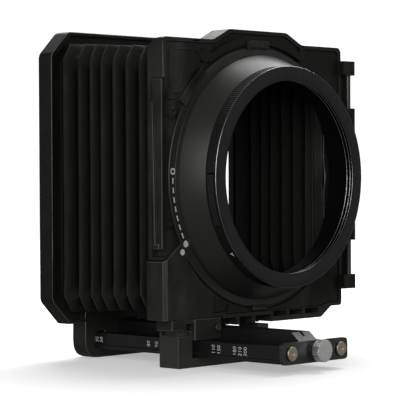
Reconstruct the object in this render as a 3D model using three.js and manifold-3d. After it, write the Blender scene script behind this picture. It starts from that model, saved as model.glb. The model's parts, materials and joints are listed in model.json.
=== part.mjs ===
// Bellows lens shade: a rear standard with a hinged lens plate, pleated bellows, and a mouth
// frame on a rail that slides through the standard's carriage. Millimetres, +Z up.
// Design axes: the optical axis is X = Z = 0, the mouth is towards +Y, and Y = 0 is the rear
// face of the standard. At the end the whole shade is stood on Z = 0, centred on its own box.
import * as THREE from 'three';
import { mergeVertices } from 'three/addons/utils/BufferGeometryUtils.js';
import Module from 'manifold-3d';

const wasm = await Module();
wasm.setup();

// ---- Driving dimensions -------------------------------------------------------------------
const GAP = 0.3;                      // left between pieces that touch
const ROUND = 64;                     // facets round the optical axis

const LENS_R = 42;                    // clear radius of the adapter ring
const ADAPTER = { r: 48.3, rear: -19.1, front: -13.4, spigotR: 44.8, spigotEnd: -6 };
const CONE = { r0: 48, y0: -13, r1: 53.6, y1: -3 };
const FLANGE = { r: 57.3, face: -0.7, back: 0.15 };

const FRAME = { left: -59.8, right: 56.8, top: 59.4, bottom: -64.3, depth: 9.9, rim: 1.7, sill: 3.3 };
const SHELF = { from: 42, to: 49.2, z: -59.6 };          // stepped lower right corner of the frame
const POCKETS = { from: 8.9, count: 3, width: 9.3, pitch: 10.9, above: 2.3, height: 2.3 };
const OPEN_EDGE = { from: -25, to: 7.6, back: 7, top: -61, ribs: [-15, -4.8], ribWidth: 1.8, ribEnd: -64.4 };
const TOP_CURVE = [[3.5, 59.4], [5.6, 58.5], [7.6, 56.6], [9, 54.8], [9.9, 53]];  // [y, z], top front
const BUMP = { top: 64.5, halfTop: 18.8, halfBase: 29.1 };
const THROAT = 49;                    // half-width of the hole that the bellows open from
const DOOR = { face: 0.5, back: 3.1, hole: 54 };
const CAVITY = { front: 5.6, halfX: 54.6, halfZ: 52 };   // space for a square filter

const HINGE = { x: 62.3, y: 0.2, r: 3.2, pin: 1.2, bore: 1.5 };
const TAB = { r0: 56.4, inner: 57.6, rear: -1.6, under: -1.05 };
const TABS = [                        // strips that hold the flange, by their angles from +X
  { name: 'ring_tab_top', middle: 92, half: 7, outer: 60.2 },
  { name: 'ring_tab_bottom', middle: 268.5, half: 5, outer: 58.8 },
  { name: 'ring_tab_left', middle: 138, half: 9.5, outer: 60.2 },
];
const EAR_TOP = [46.9, 53.3];
const EAR_LOW = [-52, -45.5];
const BARREL = [-29.5, 31.5];

const PLATE_INSET = FRAME.rim + GAP;
const COLLAR = { inner: 58.6, outer: 61.8, from: 62, to: 123, endR: 62.7, endRound: 3 };
const SCREWS = [                      // the door's screws: name, X, Z and radius of the boss
  ['door_screw_upper', -54.9, 27.6, 2.6],
  ['door_screw_lower', -56.5, -19.6, 1.4],
];

const BLOCK = {
  left: -60.5, right: -31, bottom: -60, shoulder: -35.4, innerR: 57.7, outerR: 58.9,
  apex: 208.8, step: 217.5, face: -1.2, front: 9.9, bevel: 1.4,
};
const LATCH = { top: 41.8, bottom: -30, y0: 1, y1: 6.6, out: 0.1, thick: 1.4, travel: 2.5 };

const PLEATS = 7;                     // spaces between the standard and the mouth frame
const PITCH = 7.6;
const RIB = { thick: 2, deep: 9.5, rear: 56.7, front: 59.5, cutX: 4.3, cutZ: 7.2 };

const MOUTH = { y0: 63.6, y1: 72.4, halfX: 65.5, halfZ: 65, cut: 10.5, inner: 58 };
const MOUTH_RECESS = { inset: 1.6, depth: 2.5 };
const FOOT = { left: -46, right: 7, bottom: -81, round: 8 };

const RAIL = { centre: -19.4, half: 20.2, top: -69.6, bottom: -76.6, web: -73.2, y0: -46.5, y1: 71 };
const RAIL_BAR = { width: 5, flange: 0.5, flangeTop: 1.4, flangeSlope: 1.9 };
const SPINE = { half: 5.8, top: -64.8, slot: 0.8, slotFloor: -66.4, ramp: 6.2 };
const END = { y0: -48.8, y1: -46.8, half: 20.7, z0: -77, z1: -67.9, screwInset: 5, round: 2 };
const SCREW_Z = -72.4;                // height of the screws at both ends of the rail
const FOOT_SCREWS = [RAIL.centre - 17.4, RAIL.centre + 17.4];
const END_SCREWS = [RAIL.centre - END.half + END.screwInset, RAIL.centre + END.half - END.screwInset];
const CARRIAGE = {
  left: -51, inner: -42.4, innerRight: 1.8, right: 6.6, y0: 0.6, y1: 12, top: -65, floor: -77,
  lipLeft: 3.6, lipRight: 2.4, wall: 1.2, seatWall: 0.9,
};
const BUTTON = { z0: -69, travel: 1.2, window: -67.2, ridges: 5, ridgeDepth: 0.6 };
const NECK_SCREW = [-28.3, -64.7];
const CATCH = { from: 178, to: 205, y0: -18.1, y1: -14.2, ridges: 4, ridgePitch: 0.85 };
const THUMB = { z: -72, r: 4.75, tooth: 0.25, teeth: 30, head: 3.4, y: -50.5 };

// ---- Solids: build, join, cut -------------------------------------------------------------
function solidOf(geometry) {
  const bare = geometry.index ? geometry.toNonIndexed() : geometry;
  bare.deleteAttribute('normal');
  bare.deleteAttribute('uv');
  const merged = mergeVertices(bare, 1e-4);
  return new wasm.Manifold(new wasm.Mesh({
    numProp: 3,
    vertProperties: new Float32Array(merged.attributes.position.array),
    triVerts: new Uint32Array(merged.index.array),
  }));
}

function geometryOf(solid) {
  const mesh = solid.getMesh();
  const geometry = new THREE.BufferGeometry();
  geometry.setAttribute('position', new THREE.BufferAttribute(mesh.vertProperties, 3));
  geometry.setIndex(new THREE.BufferAttribute(mesh.triVerts, 1));
  geometry.computeVertexNormals();
  return geometry;
}

const join = (first, ...rest) => rest.reduce((whole, part) => whole.add(part), first);
const cut = (first, ...tools) => tools.reduce((whole, tool) => whole.subtract(tool), first);

// A box between two X, two Y and two Z values.
function block(x0, x1, y0, y1, z0, z1) {
  const geometry = new THREE.BoxGeometry(x1 - x0, y1 - y0, z1 - z0);
  geometry.translate((x0 + x1) / 2, (y0 + y1) / 2, (z0 + z1) / 2);
  return solidOf(geometry);
}

// An outline drawn in X and Z, made solid from y0 to y1; its curves become straight steps, and
// points that fall together are dropped.
function plate(shape, y0, y1, curveSegments = 6) {
  const points = shape.getPoints(curveSegments);
  const apart = points.filter((point, i) => point.distanceTo(points[(i + 1) % points.length]) > 1e-3);
  const solid = new THREE.Shape(apart);
  const geometry = new THREE.ExtrudeGeometry(solid, { depth: y1 - y0, bevelEnabled: false });
  geometry.rotateX(Math.PI / 2);
  geometry.translate(0, y1, 0);
  return solidOf(geometry);
}

// An outline drawn in Y and Z, made solid from x0 to x1.
function slab(points, x0, x1) {
  const shape = new THREE.Shape(points.map(([y, z]) => new THREE.Vector2(y, z)));
  const geometry = new THREE.ExtrudeGeometry(shape, { depth: x1 - x0, bevelEnabled: false });
  geometry.rotateX(Math.PI / 2);
  geometry.rotateZ(Math.PI / 2);
  geometry.translate(x0, 0, 0);
  return solidOf(geometry);
}

// A ring turned about the optical axis; its section is a closed list of [radius, y].
function turned(section, facets = ROUND) {
  const points = [...section, section[0]].map(([r, y]) => new THREE.Vector2(r, y));
  return solidOf(new THREE.LatheGeometry(points, facets));
}

// A round bar along Y or Z.
function bar(axis, radius, from, to, [x, other], facets = 16) {
  const geometry = new THREE.CylinderGeometry(radius, radius, to - from, facets);
  if (axis === 'z') geometry.rotateX(Math.PI / 2);
  const middle = (from + to) / 2;
  if (axis === 'z') geometry.translate(x, other, middle);
  else geometry.translate(x, middle, other);
  return solidOf(geometry);
}

// ---- Outlines in X and Z ------------------------------------------------------------------
const degrees = (angle) => angle * Math.PI / 180;

// A closed outline through [x, z, radius] corners, each rounded by its radius.
function outline(corners) {
  const shape = new THREE.Shape();
  corners.forEach(([x, z, radius = 0], i) => {
    const corner = new THREE.Vector2(x, z);
    const previous = corners[(i + corners.length - 1) % corners.length];
    const next = corners[(i + 1) % corners.length];
    const towards = ([px, pz]) => {
      const way = new THREE.Vector2(px, pz).sub(corner);
      return way.normalize().multiplyScalar(radius);
    };
    const enter = corner.clone().add(towards(previous));
    const leave = corner.clone().add(towards(next));
    if (i === 0) shape.moveTo(enter.x, enter.y);
    else shape.lineTo(enter.x, enter.y);
    if (radius > 0) shape.quadraticCurveTo(x, z, leave.x, leave.y);
  });
  shape.closePath();
  return shape;
}

// A rectangle about the optical axis, its corners cut by cutX along X and cutZ along Z.
function octagon(halfX, halfZ, cutX, cutZ) {
  return outline([
    [-halfX + cutX, -halfZ], [halfX - cutX, -halfZ], [halfX, -halfZ + cutZ], [halfX, halfZ - cutZ],
    [halfX - cutX, halfZ], [-halfX + cutX, halfZ], [-halfX, halfZ - cutZ], [-halfX, -halfZ + cutZ],
  ]);
}

// A stretch of a ring between two radii and two angles, counter-clockwise from +X.
function sector(r0, r1, from, to) {
  const shape = new THREE.Shape();
  shape.absarc(0, 0, r1, degrees(from), degrees(to), false);
  shape.absarc(0, 0, r0, degrees(to), degrees(from), true);
  shape.closePath();
  return shape;
}

// The standard's outline: a bump over the ring, and a stepped lower right corner. Drawn in by an
// inset it is the opening for the lens plate, which stops above the sill.
function standardOutline(inset) {
  const left = FRAME.left + inset;
  const right = FRAME.right - inset;
  const top = FRAME.top - inset;
  const low = FRAME.bottom + inset + (inset > 0 ? FRAME.sill : 0);
  const slope = inset * 0.5;
  return outline([
    [left, BLOCK.bottom + inset, 2], [-24 + inset, BLOCK.bottom + inset], [-24 + inset, low],
    [SHELF.from - slope, low, 0.5], [SHELF.to - slope, SHELF.z + inset, 0.5],
    [right, SHELF.z + inset, 2], [right, top, 3],
    [BUMP.halfBase - slope, top, 1.5], [BUMP.halfTop - slope, BUMP.top - inset, 1.5],
    [-BUMP.halfTop + slope, BUMP.top - inset, 1.5], [-BUMP.halfBase + slope, top, 1.5],
    [left, top, 2],
  ]);
}

// The corner block's outline: an apex beside the clamp ring, then an arc down to its lower edge.
function blockOutline(grow) {
  const rad = BLOCK.innerR - grow;
  const outer = BLOCK.outerR - grow;
  const [apex, step] = [degrees(BLOCK.apex - grow), degrees(BLOCK.step + grow)];
  const right = BLOCK.right + grow;
  const low = Math.PI + Math.acos(-right / outer);
  const shape = new THREE.Shape();
  shape.moveTo(right, BLOCK.bottom - grow);
  shape.lineTo(outer * Math.cos(low), outer * Math.sin(low));
  shape.absarc(0, 0, outer, low, step, true);
  shape.absarc(0, 0, rad, step, apex, true);
  shape.lineTo(BLOCK.left - grow, BLOCK.shoulder + grow);
  shape.lineTo(BLOCK.left - grow, BLOCK.bottom - grow);
  shape.closePath();
  return shape;
}

// ---- Materials ----------------------------------------------------------------------------
function material(color, roughness, metalness = 0) {
  return new THREE.MeshStandardMaterial({ color, roughness, metalness });
}
const look = {
  plastic: () => material(0x1b1c1d, 0.55),
  satin: () => material(0x232425, 0.4),
  fabric: () => material(0x141414, 0.95),
  anodised: () => material(0x17181a, 0.35, 0.6),
  plated: () => material(0x4a4e4c, 0.35, 0.9),
  brass: () => material(0x9a8455, 0.3, 0.9),
  bright: () => material(0xc8c8c8, 0.2, 1),
};

const shade = new THREE.Group();
const bodies = {};
const moving = ['latch', 'lock', 'door', 'clamp', 'snap', 'adapter', 'release', 'folds', 'front'];
for (const name of ['standard', ...moving]) {
  bodies[name] = new THREE.Group();
  shade.add(bodies[name]);
}

// Adds a named piece to a body; turn is its angle about Z.
function piece(body, name, solid, finish, place = [0, 0, 0], turn = 0) {
  const mesh = new THREE.Mesh(geometryOf(solid), finish());
  mesh.name = name;
  mesh.position.set(...place);
  mesh.rotation.z = turn;
  bodies[body].add(mesh);
}

// ---- Rear standard ------------------------------------------------------------------------
function hingeEar([z0, z1]) {
  const round = bar('z', HINGE.r, z0, z1, [HINGE.x, HINGE.y]);
  const arm = block(FRAME.right - 1, HINGE.x, HINGE.y - HINGE.r + 0.4, HINGE.y + HINGE.r, z0, z1);
  return cut(join(round, arm), bar('z', HINGE.bore, z0 - 1, z1 + 1, [HINGE.x, HINGE.y]));
}

// A thin wall behind the bare hinge pin, between an ear and the door's barrel.
function hingeWeb(z0, z1) {
  const rear = HINGE.y + HINGE.pin + GAP;
  return block(FRAME.right - 1, HINGE.x + HINGE.pin, rear, rear + 1.4, z0, z1);
}

function rearFrame() {
  const body = plate(standardOutline(0), 0, FRAME.depth);
  const recess = plate(standardOutline(FRAME.rim), -1, DOOR.back + GAP);
  const doorBack = DOOR.back + GAP;
  const doorSide = block(FRAME.right - 3, FRAME.right + 1, -1, doorBack, BARREL[0] - 1, BARREL[1] + 1);
  const cavity = block(-CAVITY.halfX, CAVITY.halfX, 1, CAVITY.front, -CAVITY.halfZ, CAVITY.halfZ);
  const throat = plate(octagon(THROAT, THROAT, 3, 3), 1, FRAME.depth + 1);
  const seat = plate(blockOutline(GAP), -3, FRAME.depth + 2);
  const slotBottom = LATCH.bottom - LATCH.travel - 0.8;
  const slotRight = FRAME.left + FRAME.rim + 0.1;
  const latchSlot = block(FRAME.left - 1, slotRight, -1, LATCH.y1 + 0.4, slotBottom, LATCH.top + 0.4);
  let frame = cut(body, recess, doorSide, cavity, throat, seat, latchSlot);
  // The top front edge is rounded on both sides of the bump.
  const over = [...TOP_CURVE, [FRAME.depth + 1, TOP_CURVE.at(-1)[1]], [FRAME.depth + 1, 66], [3.5, 66]];
  frame = cut(frame, slab(over, FRAME.left - 1, -BUMP.halfBase - 1));
  frame = cut(frame, slab(over, BUMP.halfBase + 1, FRAME.right + 1));
  // Pockets of the sill, and its open stretch with two hanging ribs.
  const pocketLow = FRAME.bottom + POCKETS.above;
  for (let i = 0; i < POCKETS.count; i += 1) {
    const x = POCKETS.from + i * POCKETS.pitch;
    frame = cut(frame, block(x, x + POCKETS.width, -1, 6, pocketLow, pocketLow + POCKETS.height));
  }
  frame = cut(frame, block(OPEN_EDGE.from, OPEN_EDGE.to, -1, OPEN_EDGE.back, -70, OPEN_EDGE.top));
  for (const x of OPEN_EDGE.ribs) {
    const end = x + OPEN_EDGE.ribWidth;
    frame = join(frame, block(x, end, 0, OPEN_EDGE.back + 1, OPEN_EDGE.ribEnd, OPEN_EDGE.top + 0.5));
  }
  // Slot in the top rim.
  frame = cut(frame, block(-42, -37, -1, 2, FRAME.top - 1.2, FRAME.top - 0.5));
  const webTop = hingeWeb(BARREL[1] + GAP, EAR_TOP[0] + 0.5);
  const webLow = hingeWeb(EAR_LOW[1] - 0.5, BARREL[0] - GAP);
  return join(frame, hingeEar(EAR_TOP), hingeEar(EAR_LOW), webTop, webLow);
}

function cornerBlock() {
  const body = plate(blockOutline(0), BLOCK.face, BLOCK.front);
  // The left edge of the face is bevelled back to the frame's rear face.
  const { left, face, bevel } = BLOCK;
  const wedge = new THREE.Shape([
    new THREE.Vector2(left - 1, face - 1), new THREE.Vector2(left + bevel, face - 0.01),
    new THREE.Vector2(left - 0.01, face + bevel), new THREE.Vector2(left - 1, face + bevel),
  ]);
  const tool = new THREE.ExtrudeGeometry(wedge, { depth: 60, bevelEnabled: false });
  tool.translate(0, 0, BLOCK.bottom - 10);
  return cut(body, solidOf(tool));
}

function neckBracket() {
  const face = CARRIAGE.y0 - GAP;
  const right = RAIL.centre - SPINE.half - 0.4;
  const body = block(-55, right, face - 0.2, 9.5, CARRIAGE.top + GAP, BLOCK.bottom - GAP);
  const apron = block(-42, right, -0.6, face, RAIL.top + GAP, BLOCK.bottom - GAP);
  const notch = block(-46.5, -42, 0, 4, -65, -62);
  const screwHole = bar('y', 1.2, -2, 6, NECK_SCREW, 12);
  return cut(join(body, apron), notch, screwHole);
}

function screwWithSlot(radius, head, stem, stemRadius, facets = 20) {
  const cap = bar('y', radius, -head, 0, [0, 0], facets);
  const shank = bar('y', stemRadius, -0.2, stem, [0, 0], 12);
  const socket = bar('y', radius * 0.38, -head - 1, -head + 0.6, [0, 0], 6);
  return cut(join(cap, shank), socket);
}

function carriage() {
  const { left, inner, innerRight, right, y0, y1, top } = CARRIAGE;
  const shell = block(left, right, y0, y1, FOOT.bottom, top);
  const channel = block(inner, innerRight, -1, y1 + 1, CARRIAGE.floor, RAIL.top + 0.4);
  const [mouthLeft, mouthRight] = [inner + CARRIAGE.lipLeft, innerRight - CARRIAGE.lipRight];
  const mouth = block(mouthLeft, mouthRight, -1, y1 + 1, RAIL.top - 1, top + 1);
  // The lock button slides in a seat, and shows above the seat's low rear wall.
  const seatRight = inner - CARRIAGE.seatWall;
  const seatFloor = BUTTON.z0 - BUTTON.travel - 1.2;
  const seat = block(left + 1, seatRight, y0 + CARRIAGE.wall, y1 - 1.5, seatFloor, top + 1);
  const window = block(left - 1, seatRight, y0 - 1, y1 - 1.5, BUTTON.window, top + 1);
  const bevel = 1.2;
  const low = FOOT.bottom;
  const corner = outline([[left - 1, low - 1], [left + bevel, low - 1], [left - 1, low + bevel + 1]]);
  return cut(shell, channel, mouth, seat, window, plate(corner, -1, y1 + 1));
}

function lockButton() {
  const x0 = CARRIAGE.left + 1 + GAP;
  const x1 = CARRIAGE.inner - CARRIAGE.seatWall - GAP;
  const rear = CARRIAGE.y0 + CARRIAGE.wall + GAP;
  let button = block(x0, x1, rear, CARRIAGE.y1 - 1.8, BUTTON.z0, CARRIAGE.top);
  const step = (x1 - x0) / BUTTON.ridges;
  for (let i = 0; i < BUTTON.ridges; i += 1) {
    const x = x0 + (i + 0.65) * step;
    const groove = block(x, x + step * 0.35, rear - 1, rear + BUTTON.ridgeDepth, -75, -60);
    button = cut(button, groove);
  }
  return button;
}

piece('standard', 'rear_frame', rearFrame(), look.plastic);
piece('standard', 'corner_block', cornerBlock(), look.plastic);
const hingePin = bar('z', HINGE.pin, EAR_LOW[0], EAR_TOP[1], [HINGE.x, HINGE.y]);
piece('standard', 'hinge_pin', hingePin, look.plated);
piece('standard', 'neck_bracket', neckBracket(), look.plastic);
const neckScrewPlace = [NECK_SCREW[0], -0.9, NECK_SCREW[1]];
piece('standard', 'neck_screw', screwWithSlot(1.7, 0.8, 4, 0.9), look.bright, neckScrewPlace);
piece('standard', 'slider_carriage', carriage(), look.satin);
const springTop = BUTTON.z0 - BUTTON.travel - 0.4;
piece('standard', 'lock_spring', block(-49, -45.5, 3, 9, springTop - 0.5, springTop), look.bright);
piece('lock', 'lock_button', lockButton(), look.satin);

// Two bent leaf springs that press a filter in the cavity towards the mouth.
const bowed = [
  [4.9, -24], [5.3, -24], [5.3, -8], [4.5, 0], [5.3, 8],
  [5.3, 24], [4.9, 24], [4.9, 8], [4.1, 0], [4.9, -8],
];
const springX = CAVITY.halfX - 2.4;
piece('standard', 'filter_spring_left', slab(bowed, -springX - 1.8, -springX + 1.8), look.bright);
piece('standard', 'filter_spring_right', slab(bowed, springX - 1.8, springX + 1.8), look.bright);

// A clamping frame for one end of the bellows.
function clampFrame(half, width, corner, y0, y1) {
  const inner = half - width;
  const hole = plate(octagon(inner, inner, 3, 3), y0 - 1, y1 + 1);
  return cut(plate(octagon(half, half, corner, corner), y0, y1), hole);
}
const rearClamp = clampFrame(52, 3.4, 3, FRAME.depth + GAP, FRAME.depth + 1.2);
piece('standard', 'bellows_rear_clamp', rearClamp, look.anodised);

// ---- Side latch ---------------------------------------------------------------------------
function latchBar() {
  const x0 = FRAME.left - LATCH.out;
  const bodyBar = block(x0, x0 + LATCH.thick, LATCH.y0, LATCH.y1, LATCH.bottom, LATCH.top);
  const top = 32;
  const side = [[4, LATCH.bottom], [5.2, LATCH.bottom], [LATCH.y1, top], [5.4, top]];
  const ridge = slab(side, x0 - 1.1, x0 + 0.5);
  const hook = block(x0 - 1.1, x0 + 0.5, 2, 5, LATCH.bottom, LATCH.bottom + 2.2);
  return join(bodyBar, ridge, hook);
}
piece('latch', 'latch_bar', latchBar(), look.plastic);

// ---- Door: the lens plate -----------------------------------------------------------------
// The raised pad at the upper left of the lens plate, drawn in by an inset.
function padOutline(inset) {
  const low = 35.8 + inset;
  return outline([
    [-56 + inset, low, 0.5], [-49.5 - inset * 0.4, low, 0.5], [-37.6 - inset, 49.6 - inset * 0.4, 0.5],
    [-36.5 - inset, 52.6 - inset, 0.8], [-38.5 - inset, 55.4 - inset, 1], [-56 + inset, 55.4 - inset, 2.5],
  ]);
}

function lensPlate() {
  let door = plate(standardOutline(PLATE_INSET), DOOR.face, DOOR.back);
  const arm = block(FRAME.right - 3, HINGE.x, DOOR.face, DOOR.back, BARREL[0], BARREL[1]);
  door = join(door, arm, bar('z', HINGE.r, BARREL[0], BARREL[1], [HINGE.x, HINGE.y]));
  // Raised pad with a rim, gusset below it, collar over the ring, land under it, screw bosses.
  const pad = cut(plate(padOutline(0), DOOR.face - 0.9, DOOR.back), plate(padOutline(1.1), -2, 0));
  const gusset = outline([[-57.4, 33.2], [-52.9, 33.2], [-55, 37], [-57.4, 37.8]]);
  const arc = sector(COLLAR.inner, COLLAR.outer, COLLAR.from, COLLAR.to);
  const collar = plate(arc, DOOR.face - 1.5, DOOR.back, 18);
  const low = plate(sector(COLLAR.inner, 75, 250, 305), DOOR.face - 1, DOOR.back, 20);
  const lowLimits = plate(outline([[-40, -80], [19.4, -69.7], [43.8, -39.8], [-40, -39.8]]), -5, 5);
  const limits = plate(standardOutline(PLATE_INSET), -5, 5);
  const raised = join(collar, low.intersect(lowLimits), plate(gusset, DOOR.face - 0.9, DOOR.back));
  door = join(door, pad, raised.intersect(limits));
  // The collar's ends turn outwards beside the bump.
  for (const angle of [COLLAR.from, COLLAR.to + 0.6]) {
    const place = [COLLAR.endR * Math.cos(degrees(angle)), COLLAR.endR * Math.sin(degrees(angle))];
    const end = bar('y', COLLAR.endRound, DOOR.face - 1.5, DOOR.back, place, 20);
    door = join(door, end.intersect(limits));
  }
  for (const [, x, z, r] of SCREWS) door = join(door, bar('y', r, DOOR.face - 0.9, DOOR.back, [x, z]));
  const ringHole = bar('y', DOOR.hole, -5, 5, [0, 0], ROUND);
  const pinBore = bar('z', HINGE.bore, BARREL[0] - 1, BARREL[1] + 1, [HINGE.x, HINGE.y]);
  const blockRoom = plate(blockOutline(GAP), -5, 5);
  door = cut(door, ringHole, pinBore, blockRoom);
  for (const [, x, z, r] of SCREWS) door = cut(door, bar('y', r * 0.45 + GAP, -5, 5, [x, z], 12));
  for (const { middle, half, outer } of TABS) {
    const [from, to] = [middle - half - 0.4, middle + half + 0.4];
    door = cut(door, plate(sector(TAB.inner - GAP, outer + GAP, from, to), -5, DOOR.face, 8));
  }
  return door;
}

// A strip screwed down outside the flange; its thin lip reaches over the flange's edge.
function ringTab({ middle, half, outer }) {
  const [from, to] = [middle - half, middle + half];
  const foot = plate(sector(TAB.inner, outer, from, to), TAB.rear, DOOR.face - GAP, 8);
  const lip = plate(sector(TAB.r0, TAB.inner + 0.5, from, to), TAB.rear, TAB.under, 8);
  return join(foot, lip);
}

piece('door', 'lens_plate', lensPlate(), look.plastic);
for (const tab of TABS) piece('door', tab.name, ringTab(tab), look.plastic);
for (const [name, x, z, r] of SCREWS) {
  const screw = screwWithSlot(r * 0.75, 0.5, 2.6, r * 0.4);
  piece('door', name, screw, look.plated, [x, DOOR.face - 0.9 - GAP, z]);
}

// ---- Clamp ring, snap ring, adapter -------------------------------------------------------
const clampSection = [
  [CONE.r0, CONE.y0], [CONE.r1, CONE.y1], [CONE.r1, FLANGE.face], [FLANGE.r - 0.3, FLANGE.face],
  [FLANGE.r, FLANGE.face + 0.3], [FLANGE.r, FLANGE.back], [CONE.r1, FLANGE.back], [CONE.r1, DOOR.back],
  [CONE.r1 - 2, DOOR.back], [CONE.r1 - 2.4, CONE.y1], [CONE.r0 - 0.6, CONE.y0 + 3], [CONE.r0 - 1, CONE.y0],
];
piece('clamp', 'clamp_ring', turned(clampSection), look.satin);

function snapRing() {
  const [y0, y1] = [CONE.y0 + 0.6, CONE.y0 + 3];
  const ring = turned([[45.2, y0], [46.6, y0], [46.6, y1], [45.2, y1]]);
  return cut(ring, plate(sector(44, 48, 266, 274), y0 - 1, y1 + 1, 3));
}
piece('snap', 'snap_ring', snapRing(), look.bright);

function adapterRing() {
  const { r, rear, front, spigotR, spigotEnd } = ADAPTER;
  const section = [
    [LENS_R, rear], [r - 0.6, rear], [r, rear + 0.6], [r, front], [spigotR, front], [spigotR, spigotEnd],
    [LENS_R + 0.8, spigotEnd], [LENS_R + 0.8, -15], [LENS_R, -15.6],
  ];
  let ring = turned(section);
  // Three bayonet slots behind the rear lip.
  for (const start of [20, 140, 260]) {
    const slot = plate(sector(LENS_R - 1, LENS_R + 2.1, start, start + 46), rear + 1.4, rear + 3.3, 10);
    ring = cut(ring, slot);
  }
  return cut(ring, plate(sector(45.2, 50, CATCH.from, CATCH.to), CATCH.y0, CATCH.y1, 6));
}
piece('adapter', 'adapter_ring', adapterRing(), look.anodised);
const catchSpring = plate(sector(45.5, 45.9, CATCH.from + 4, CATCH.to - 4), -17.2, -15.2, 4);
piece('adapter', 'catch_spring', catchSpring, look.bright);

function releaseCatch() {
  const [from, to] = [CATCH.from + 0.5, CATCH.to - 0.5];
  let button = plate(sector(46.9, 48.2, from, to), CATCH.y0 + GAP, CATCH.y1 - GAP, 6);
  for (let i = 0; i < CATCH.ridges; i += 1) {
    const y = CATCH.y0 + GAP + i * CATCH.ridgePitch;
    button = join(button, plate(sector(48, 48.9, from, to), y, y + 0.5, 6));
  }
  return button;
}
piece('release', 'release_catch', releaseCatch(), look.satin);

// ---- Bellows ------------------------------------------------------------------------------
function bellowsRib(index) {
  const half = RIB.rear + (RIB.front - RIB.rear) * (index - 1) / (PLEATS - 1);
  const inner = half - RIB.deep;
  const solid = plate(octagon(half, half, RIB.cutX, RIB.cutZ), -RIB.thick / 2, RIB.thick / 2);
  return cut(solid, plate(octagon(inner, inner, 2, 4), -RIB.thick, RIB.thick));
}
for (let i = 1; i < PLEATS; i += 1) {
  piece('folds', `bellows_fold_${i}`, bellowsRib(i), look.fabric, [0, FRAME.depth + i * PITCH, 0]);
}

// ---- Mouth frame, rail and end plate ------------------------------------------------------
function mouthFrame() {
  const { halfX, halfZ, cut: corner } = MOUTH;
  const frame = plate(octagon(halfX, halfZ, corner, corner), MOUTH.y0, MOUTH.y1);
  const foot = plate(outline([
    [FOOT.left, FOOT.bottom, FOOT.round], [FOOT.right, FOOT.bottom, FOOT.round],
    [FOOT.right, -60], [FOOT.left, -60],
  ]), MOUTH.y0, MOUTH.y1);
  // The rear face is sunk inside a narrow rim.
  const { inset, depth } = MOUTH_RECESS;
  const sunk = plate(octagon(halfX - inset, halfZ - inset, corner, corner), MOUTH.y0 - 1, MOUTH.y0 + depth);
  const hole = plate(octagon(MOUTH.inner, MOUTH.inner, 5, 7), MOUTH.y0 - 1, MOUTH.y1 + 1);
  const socket = plate(railSection(GAP), MOUTH.y0 - 1, RAIL.y1 + GAP);
  const screwHoles = FOOT_SCREWS.map((x) => bar('y', 1.5, MOUTH.y0, MOUTH.y1 + 1, [x, SCREW_Z], 12));
  return cut(join(cut(frame, sunk), foot), hole, socket, ...screwHoles);
}

// The rail's section: two side bars with a lower flange, a web, and a slotted spine.
function railSection(grow) {
  const { centre } = RAIL;
  const side = RAIL.half + grow;
  const barIn = RAIL.half - RAIL_BAR.width;
  const edge = side + RAIL_BAR.flange;
  const half = [
    [edge, RAIL.bottom - grow], [edge, RAIL.bottom + RAIL_BAR.flangeTop],
    [side, RAIL.bottom + RAIL_BAR.flangeSlope],
    [side, RAIL.top + grow], [barIn - grow, RAIL.top + grow], [barIn - grow, RAIL.web + grow],
    [SPINE.half + grow, RAIL.web + grow], [SPINE.half + grow, SPINE.top + grow],
  ];
  const slot = [[SPINE.slot, SPINE.top], [SPINE.slot, SPINE.slotFloor]];
  const rightSide = grow > 0 ? half : [...half, ...slot];
  const leftSide = [...rightSide].reverse().map(([x, z]) => [-x, z]);
  return outline([...rightSide, ...leftSide].map(([x, z]) => [centre + x, z]));
}

function rail() {
  const body = plate(railSection(0), RAIL.y0, RAIL.y1);
  const { centre, y0, y1 } = RAIL;
  const half = RAIL.half - 4.4;
  const under = block(centre - half, centre + half, y0 + 4, y1 - 12, RAIL.bottom - 1, RAIL.web - 1.8);
  const rampTop = y0 + SPINE.ramp;
  const slope = [
    [y0 - 1, -69.4], [y0 + 1.5, -68.6], [rampTop, SPINE.top + 0.01], [rampTop, SPINE.top + 2],
    [y0 - 1, SPINE.top + 2],
  ];
  const ramp = slab(slope, centre - SPINE.half - 1, centre + SPINE.half + 1);
  const footHoles = FOOT_SCREWS.map((x) => bar('y', 1.3, y1 - 8, y1 + 1, [x, SCREW_Z], 12));
  const endHoles = END_SCREWS.map((x) => bar('y', 1.3, y0 - 1, y0 + 6, [x, SCREW_Z], 12));
  return cut(body, under, ramp, ...footHoles, ...endHoles);
}

function endPlate() {
  const [left, right] = [RAIL.centre - END.half, RAIL.centre + END.half];
  const shape = outline([
    [left, END.z0, END.round], [right, END.z0, END.round], [right, END.z1, END.round],
    [left, END.z1, END.round],
  ]);
  const holes = END_SCREWS.map((x) => bar('y', 1.3, END.y0 - 1, END.y1 + 1, [x, SCREW_Z], 12));
  const thumbHole = bar('y', 2.4, END.y0 - 1, END.y1 + 1, [RAIL.centre, THUMB.z], 16);
  return cut(plate(shape, END.y0, END.y1), thumbHole, ...holes);
}

// A knurled head turned about its own axis, with a neck and a short stem.
function thumbScrew() {
  const points = [];
  for (let i = 0; i < THUMB.teeth * 2; i += 1) {
    const r = i % 2 ? THUMB.r : THUMB.r - THUMB.tooth;
    const angle = Math.PI * i / THUMB.teeth;
    points.push(new THREE.Vector2(r * Math.cos(angle), r * Math.sin(angle)));
  }
  const head = plate(new THREE.Shape(points), -THUMB.head, 0);
  return join(head, bar('y', 3, -0.2, 1.3, [0, 0], 20), bar('y', 2, 1, 3.4, [0, 0], 16));
}

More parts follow.
